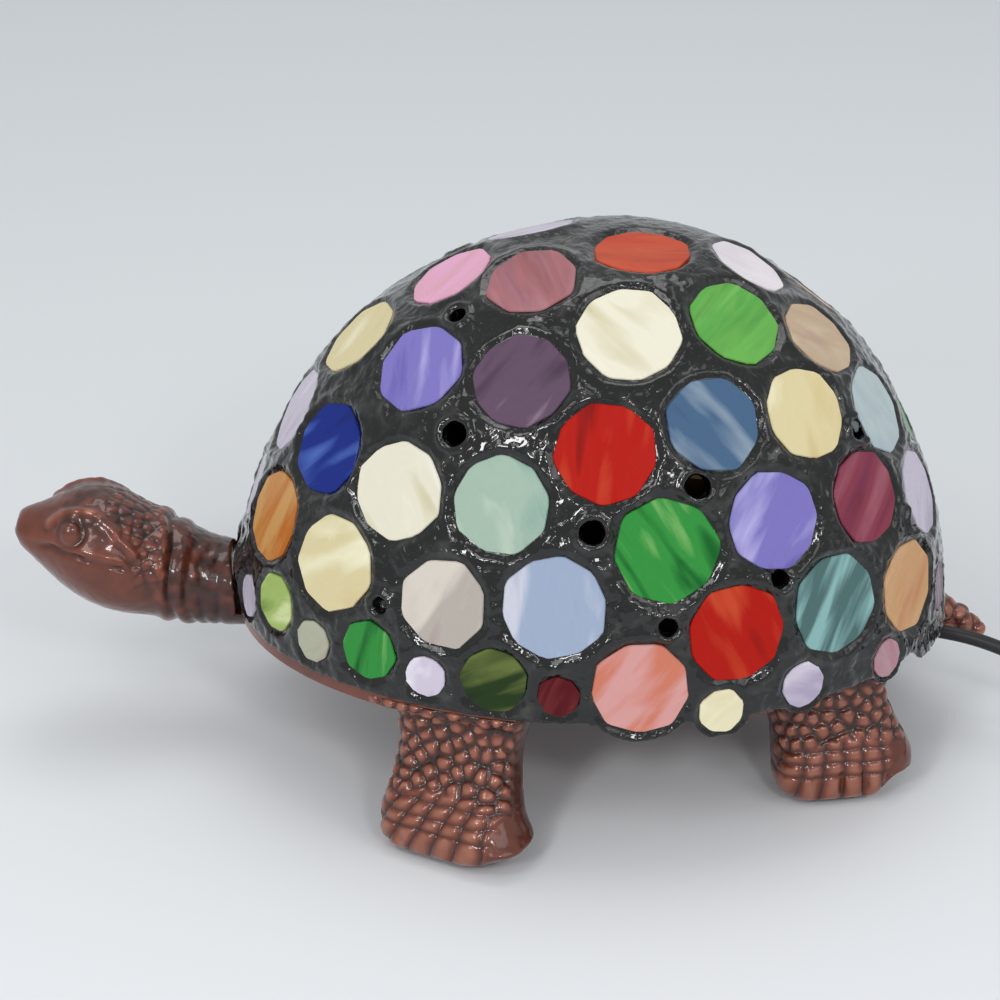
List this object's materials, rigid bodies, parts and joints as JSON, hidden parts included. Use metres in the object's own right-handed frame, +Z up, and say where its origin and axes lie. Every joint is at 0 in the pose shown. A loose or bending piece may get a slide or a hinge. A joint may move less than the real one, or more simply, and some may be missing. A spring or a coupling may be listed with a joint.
{
  "type": "turtle table lamp",
  "caption": "Turtle-shaped accent lamp: lift-off leaded glass shell over a bulb, bronze-coloured cast head, legs and tail, corded switch and plug.",
  "frame": {"origin": "on the table, under the middle of the lamp's length and width, without its cord", "axes": "+X from nose to tail, +Y to the turtle's right, +Z up"},
  "size_m": [0.4008, 0.1618, 0.1351],
  "materials": {
    "solder": "black-patina solder, glossy and lumpy",
    "bronze": "bronze-brown casting with dark recesses",
    "pad_rubber": "dark rubber pad",
    "steel_screw": "zinc-plated",
    "brass_fitting": "brass",
    "holder_plastic": "black moulded",
    "bulb_glass": "clear",
    "bulb_metal": "rolled brass",
    "bulb_black": "black glass insulator",
    "filament": "tungsten wire",
    "cord": "black vinyl",
    "lead_wire": "insulated lead",
    "switch_plastic": "black moulded",
    "plug_plastic": "black moulded",
    "glass_amber": "streaky opalescent glass",
    "glass_aubergine": "streaky opalescent glass",
    "glass_cobalt": "streaky opalescent glass",
    "glass_cream": "streaky opalescent glass",
    "glass_forest": "streaky opalescent glass",
    "glass_garnet": "streaky opalescent glass",
    "glass_lavender": "streaky opalescent glass",
    "glass_leaf": "streaky opalescent glass",
    "glass_lime": "streaky opalescent glass",
    "glass_mauve": "streaky opalescent glass",
    "glass_peach": "streaky opalescent glass",
    "glass_pearl": "streaky opalescent glass",
    "glass_periwinkle": "streaky opalescent glass",
    "glass_red": "streaky opalescent glass",
    "glass_seafoam": "streaky opalescent glass",
    "glass_sky": "streaky opalescent glass",
    "glass_steel": "streaky opalescent glass",
    "glass_teal": "streaky opalescent glass"
  },
  "bodies": {
    "base": {"tray_casting": "bronze", "head_casting": "bronze", "front_left_leg": "bronze", "front_right_leg": "bronze", "rear_left_leg": "bronze", "rear_right_leg": "bronze", "foot_pads": "pad_rubber", "casting_screws": "steel_screw", "holder_nipple": "steel_screw", "nipple_nuts": "brass_fitting", "nipple_washer": "steel_screw", "holder_body": "holder_plastic", "holder_sleeve": "brass_fitting", "holder_contact": "brass_fitting", "terminal_screws": "brass_fitting", "cord_relief": "cord", "inner_leads": "lead_wire", "cord_lead": "cord", "cord_feed": "cord", "cord_coil": "cord", "cord_end": "cord", "coil_tie": "cord", "switch_base": "switch_plastic", "switch_cover": "switch_plastic", "switch_screws": "steel_screw", "plug_body": "plug_plastic", "plug_blades": "brass_fitting"},
    "shade": {"solder_came": "solder", "glass_amber": "glass_amber", "glass_aubergine": "glass_aubergine", "glass_cobalt": "glass_cobalt", "glass_cream": "glass_cream", "glass_forest": "glass_forest", "glass_garnet": "glass_garnet", "glass_lavender": "glass_lavender", "glass_leaf": "glass_leaf", "glass_lime": "glass_lime", "glass_mauve": "glass_mauve", "glass_peach": "glass_peach", "glass_pearl": "glass_pearl", "glass_periwinkle": "glass_periwinkle", "glass_red": "glass_red", "glass_seafoam": "glass_seafoam", "glass_sky": "glass_sky", "glass_steel": "glass_steel", "glass_teal": "glass_teal"},
    "bulb_cap": {"bulb_button": "steel_screw", "bulb_insulator": "bulb_black", "bulb_cap": "bulb_metal"},
    "bulb_glass": {"bulb_envelope": "bulb_glass", "bulb_stem": "bulb_glass", "bulb_filament": "filament"},
    "rocker": {"switch_rocker": "switch_plastic"}
  },
  "joints": [
    {"name": "shade_lift", "type": "slide", "parent": "base", "child": "shade", "axis": [0, 0, 1], "range_m": [0, 0.12]},
    {"name": "bulb_slide", "type": "slide", "parent": "base", "child": "bulb_cap", "axis": [0, 0, 1], "range_m": [0, 0.0127]},
    {"name": "bulb_turn", "type": "hinge", "parent": "bulb_cap", "child": "bulb_glass", "pos_m": [0.027, 0, 0.08], "axis": [0, 0, 1], "range_deg": [0, 1800]},
    {"name": "rocker_tilt", "type": "hinge", "parent": "base", "child": "rocker", "pos_m": [0.21, -0.028, 0.0138], "axis": [0, -1, 0], "range_deg": [0, 24]}
  ],
  "couplings": [
    {"joint": "bulb_slide", "follows": "bulb_turn", "m_per_rad": 0.00040425}
  ]
}
